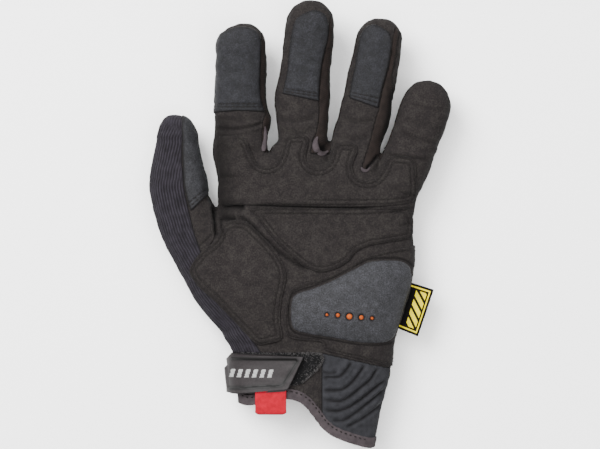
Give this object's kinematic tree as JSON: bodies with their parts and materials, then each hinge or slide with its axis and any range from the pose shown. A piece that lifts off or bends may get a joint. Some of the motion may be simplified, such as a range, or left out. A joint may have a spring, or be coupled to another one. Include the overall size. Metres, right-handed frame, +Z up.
{
  "type": "impact glove",
  "caption": "Left-hand impact work glove lying palm up: hollow hand form with suede palm overlays, padded heel, rubber guards and a wrist strap.",
  "frame": {"origin": "under the middle of the glove's bounding box, on the surface that it lies on", "axes": "+X towards the little finger's side, +Y from the cuff to the fingertips, +Z up, out of the palm, which faces up"},
  "size_m": [0.1681, 0.252, 0.0379],
  "materials": {
    "black_suede": "matt synthetic suede with a short nap",
    "grey_leather": "matt synthetic leather with a fine pebbled grain",
    "stretch_cloth": "matt four-way stretch knit",
    "ribbed_knit": "ribbed stretch knit",
    "foam_cloth": "foam-backed cloth with pressed grooves",
    "mauve_tape": "woven binding tape",
    "fastener_pile": "fuzzy loop pile",
    "black_rubber": "satin moulded thermoplastic rubber",
    "red_tape": "woven tape",
    "label_cloth": "woven label",
    "orange_foam": "matt foam"
  },
  "bodies": {
    "root": {"palm_panel": "black_suede", "back_panel": "stretch_cloth", "fourchette_index_middle": "stretch_cloth", "fourchette_middle_ring": "stretch_cloth", "fourchette_ring_little": "stretch_cloth", "thumb_back_panel": "ribbed_knit", "thumb_front_panel": "black_suede", "cuff_back_panel": "stretch_cloth", "cuff_front_panel": "black_suede", "cuff_ribbed_panel": "foam_cloth", "hem_binding": "mauve_tape", "upper_palm_overlay": "black_suede", "mid_palm_overlay": "black_suede", "thenar_overlay": "black_suede", "heel_overlay": "black_suede", "heel_pad": "grey_leather", "pad_dot_1": "orange_foam", "pad_dot_2": "orange_foam", "pad_dot_3": "orange_foam", "pad_dot_4": "orange_foam", "pad_dot_5": "orange_foam", "index_tip_patch": "grey_leather", "middle_tip_patch": "grey_leather", "ring_tip_patch": "grey_leather", "thumb_tip_patch": "grey_leather", "loop_patch": "fastener_pile", "strap_band": "black_rubber", "strap_cap": "black_rubber", "pull_tab": "red_tape", "side_label": "label_cloth", "knuckle_guard": "black_rubber", "index_guard": "black_rubber", "middle_guard": "black_rubber", "ring_guard": "black_rubber", "little_guard": "black_rubber"}
  },
  "joints": []
}
